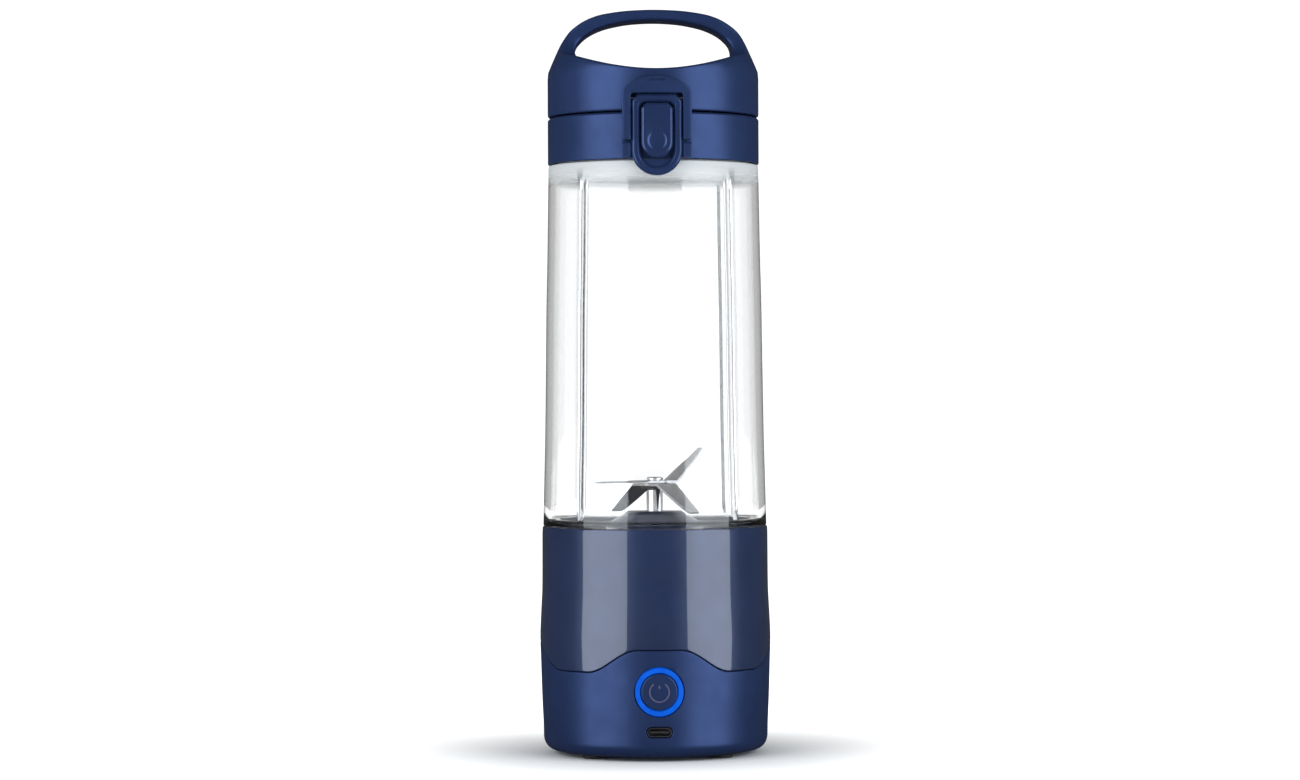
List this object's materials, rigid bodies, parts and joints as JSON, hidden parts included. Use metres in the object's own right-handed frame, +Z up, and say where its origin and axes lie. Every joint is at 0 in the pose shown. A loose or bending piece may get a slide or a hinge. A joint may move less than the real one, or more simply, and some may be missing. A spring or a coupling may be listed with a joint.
{
  "type": "portable blender",
  "caption": "Cordless bottle blender: clear ribbed cup screwed to a navy motor base, screw lid with latched flip cap and loop handle, crossed blades on a dome",
  "frame": {"origin": "the bottom centre of the bounding box: on the table, on the axis of the base and cup", "axes": "+Z up along the bottle's axis; -Y is the front with the power button and the lid latch; +Y is the back with the cap hinge; +X is right when seen from the front"},
  "size_m": [0.085, 0.087, 0.2735],
  "materials": {
    "navy_gloss": "polished navy ABS",
    "navy_satin": "satin navy ABS",
    "clear_cup": "clear copolyester",
    "blade_steel": "ground stainless steel",
    "spindle_steel": "polished stainless steel",
    "black_rubber": "matt rubber",
    "silicone": "translucent silicone",
    "led_blue": "lit light guide",
    "black_plastic": "moulded nylon",
    "board": "green solder mask",
    "cell_wrap": "shrink-wrapped steel-cased cell",
    "plain_steel": "zinc-plated steel",
    "magnet": "ferrite",
    "copper": "bare copper and brass",
    "wire_red": "insulated wire",
    "wire_black": "insulated wire"
  },
  "bodies": {
    "base": {"lower_shell": "navy_satin", "motor_housing": "navy_gloss", "blade_base": "navy_gloss", "foot_front_left": "black_rubber", "foot_front_right": "black_rubber", "foot_rear_left": "black_rubber", "foot_rear_right": "black_rubber", "base_screw_front_left": "plain_steel", "base_screw_front_right": "plain_steel", "base_screw_rear_left": "plain_steel", "base_screw_rear_right": "plain_steel", "battery_holder": "black_plastic", "battery_cell_front": "cell_wrap", "battery_cell_rear": "cell_wrap", "battery_link": "plain_steel", "battery_lead_front": "wire_black", "battery_lead_rear": "wire_red", "circuit_board": "board", "usb_port": "plain_steel", "tact_switch": "black_plastic", "button_seal": "black_rubber", "led_ring": "led_blue", "motor_can": "plain_steel", "motor_end_cap": "black_plastic", "motor_magnet_left": "magnet", "motor_magnet_right": "magnet", "motor_terminal_left": "copper", "motor_terminal_right": "copper", "motor_mount": "plain_steel", "mount_screw_1": "plain_steel", "mount_screw_2": "plain_steel", "mount_screw_3": "plain_steel", "motor_lead_left": "wire_black", "motor_lead_right": "wire_red", "spindle_bearing": "plain_steel", "shaft_seal": "black_rubber"},
    "power_button_body": {"power_button": "navy_satin"},
    "blade_unit": {"motor_rotor": "copper", "drive_coupler": "black_plastic", "spindle": "spindle_steel", "blade_washer": "black_plastic", "lower_blade": "blade_steel", "upper_blade": "blade_steel", "blade_nut": "spindle_steel"},
    "cup_gasket_body": {"cup_gasket": "silicone"},
    "cup_body": {"cup": "clear_cup"},
    "lid_gasket_body": {"lid_gasket": "silicone"},
    "lid_body": {"lid_collar": "navy_satin", "hinge_pin": "spindle_steel", "cap_spring": "spindle_steel"},
    "cap_body": {"flip_cap": "navy_satin", "cap_liner": "navy_satin", "spout_plug": "silicone", "release_spring": "spindle_steel", "lock_ring_pin": "spindle_steel"},
    "lock_ring_body": {"lock_ring": "navy_satin"},
    "release_button_body": {"release_button": "navy_satin"}
  },
  "joints": [
    {"name": "blade_spin", "type": "hinge", "parent": "base", "child": "blade_unit", "pos_m": [0, 0, 0.09], "axis": [0, 0, 1], "continuous": true},
    {"name": "power_button_press", "type": "slide", "parent": "base", "child": "power_button_body", "axis": [0, 1, 0], "range_m": [0, 0.0006], "stiffness_N_per_m": 1500},
    {"name": "cup_lift", "type": "slide", "parent": "base", "child": "cup_gasket_body", "axis": [0, 0, 1], "range_m": [0, 0.045]},
    {"name": "cup_twist", "type": "hinge", "parent": "cup_gasket_body", "child": "cup_body", "pos_m": [0, 0, 0.08], "axis": [0, 0, 1], "range_deg": [0, 1350.5]},
    {"name": "lid_lift", "type": "slide", "parent": "cup_body", "child": "lid_gasket_body", "axis": [0, 0, 1], "range_m": [0, 0.018]},
    {"name": "lid_twist", "type": "hinge", "parent": "lid_gasket_body", "child": "lid_body", "pos_m": [0, 0, 0.225], "axis": [0, 0, 1], "range_deg": [0, 720.5]},
    {"name": "cap_flip", "type": "hinge", "parent": "lid_body", "child": "cap_body", "pos_m": [0, 0.0413, 0.2362], "axis": [-1, 0, 0], "range_deg": [0, 115]},
    {"name": "lock_ring_swing", "type": "hinge", "parent": "cap_body", "child": "lock_ring_body", "pos_m": [0, -0.0407, 0.2382], "axis": [-1, 0, 0], "range_deg": [0, 95]},
    {"name": "release_button_press", "type": "slide", "parent": "cap_body", "child": "release_button_body", "axis": [0, 1, 0], "range_m": [0, 0.0013], "stiffness_N_per_m": 600}
  ],
  "couplings": [
    {"joint": "cup_twist", "follows": "cup_lift", "rad_per_m": 523.6},
    {"joint": "lid_twist", "follows": "lid_lift", "rad_per_m": 698.13}
  ]
}
